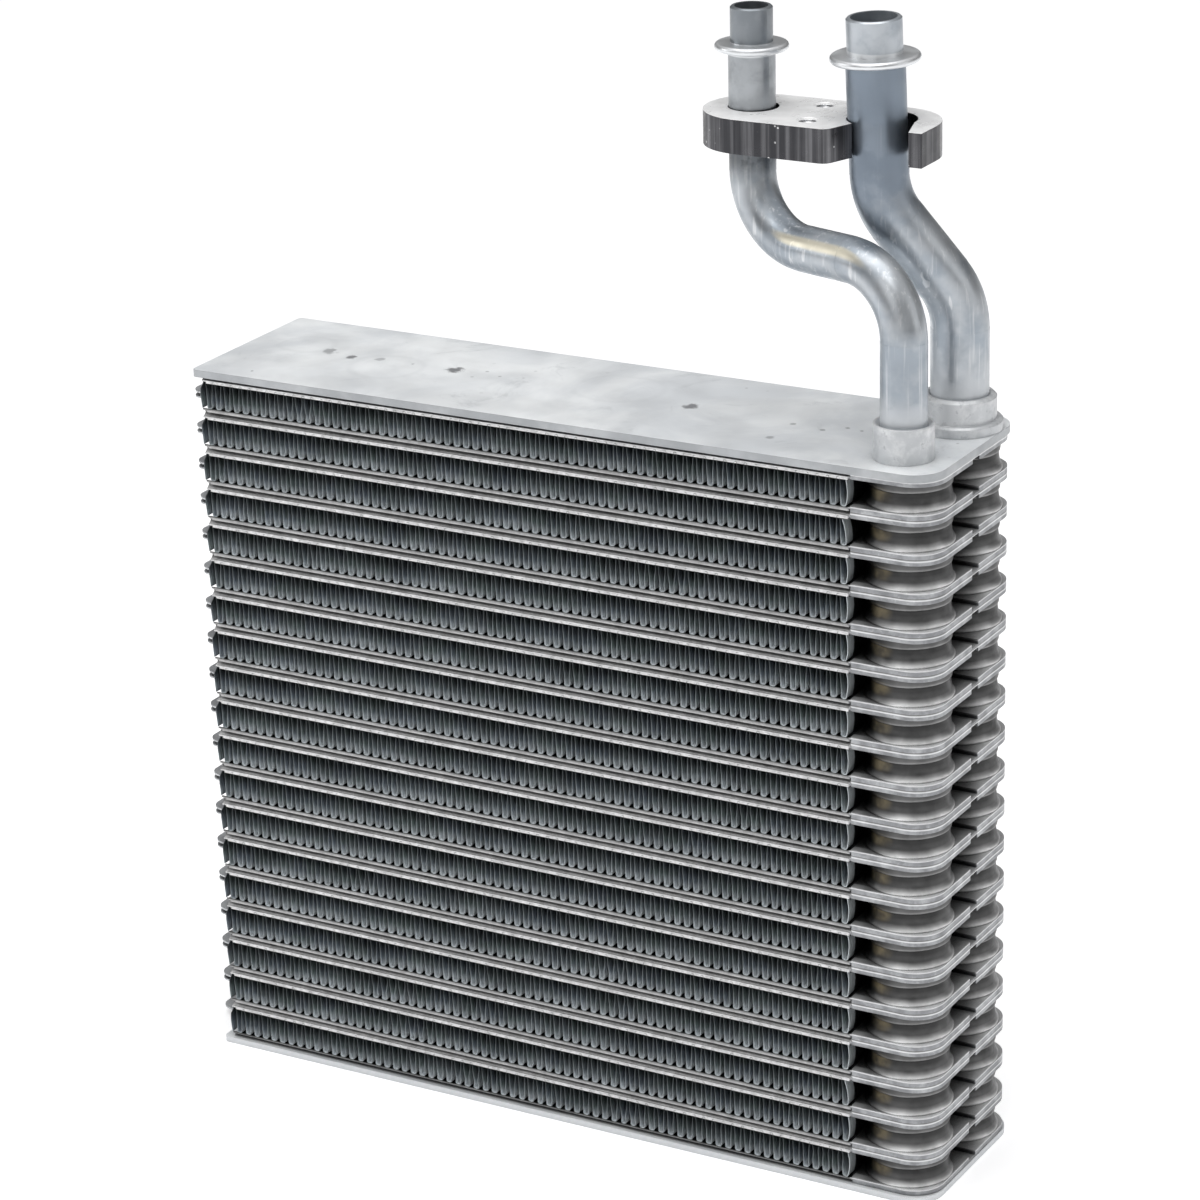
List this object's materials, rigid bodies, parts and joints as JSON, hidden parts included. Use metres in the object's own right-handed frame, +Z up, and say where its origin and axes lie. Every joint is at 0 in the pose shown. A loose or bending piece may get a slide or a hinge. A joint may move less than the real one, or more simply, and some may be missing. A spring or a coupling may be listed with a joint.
{
  "type": "evaporator core",
  "caption": "Vehicle air-conditioning evaporator core of stacked drawn plates and folded fins between end plates, with bent pipes and a retaining block.",
  "frame": {"origin": "centre of the underside of the bottom end plate", "axes": "+X along the core towards the tanks and pipes, +Y from the front face through the depth, +Z up the stack to the pipe ends"},
  "size_m": [0.2429, 0.058, 0.3257],
  "materials": {
    "fin": "dull folded sheet, dark between the folds",
    "drawn_plate": "matt brazed sheet with bright edges",
    "end_plate": "matt brazed sheet with smudges",
    "socket": "turned and brazed",
    "pipe": "drawn tube, lightly brushed and scratched",
    "block": "extruded bar, sawn and milled"
  },
  "bodies": {
    "root": {"bottom_end_plate": "end_plate", "bottom_half_plate": "drawn_plate", "plate_pair_01": "drawn_plate", "plate_pair_02": "drawn_plate", "plate_pair_03": "drawn_plate", "plate_pair_04": "drawn_plate", "plate_pair_05": "drawn_plate", "plate_pair_06": "drawn_plate", "plate_pair_07": "drawn_plate", "plate_pair_08": "drawn_plate", "plate_pair_09": "drawn_plate", "plate_pair_10": "drawn_plate", "plate_pair_11": "drawn_plate", "plate_pair_12": "drawn_plate", "plate_pair_13": "drawn_plate", "plate_pair_14": "drawn_plate", "plate_pair_15": "drawn_plate", "plate_pair_16": "drawn_plate", "plate_pair_17": "drawn_plate", "plate_pair_18": "drawn_plate", "fin_01": "fin", "fin_02": "fin", "fin_03": "fin", "fin_04": "fin", "fin_05": "fin", "fin_06": "fin", "fin_07": "fin", "fin_08": "fin", "fin_09": "fin", "fin_10": "fin", "fin_11": "fin", "fin_12": "fin", "fin_13": "fin", "fin_14": "fin", "fin_15": "fin", "fin_16": "fin", "fin_17": "fin", "fin_18": "fin", "fin_19": "fin", "top_half_plate": "drawn_plate", "top_end_plate": "end_plate", "small_pipe_socket": "socket", "large_pipe_socket": "socket", "small_pipe": "pipe", "large_pipe": "pipe", "retaining_block": "block"}
  },
  "joints": []
}
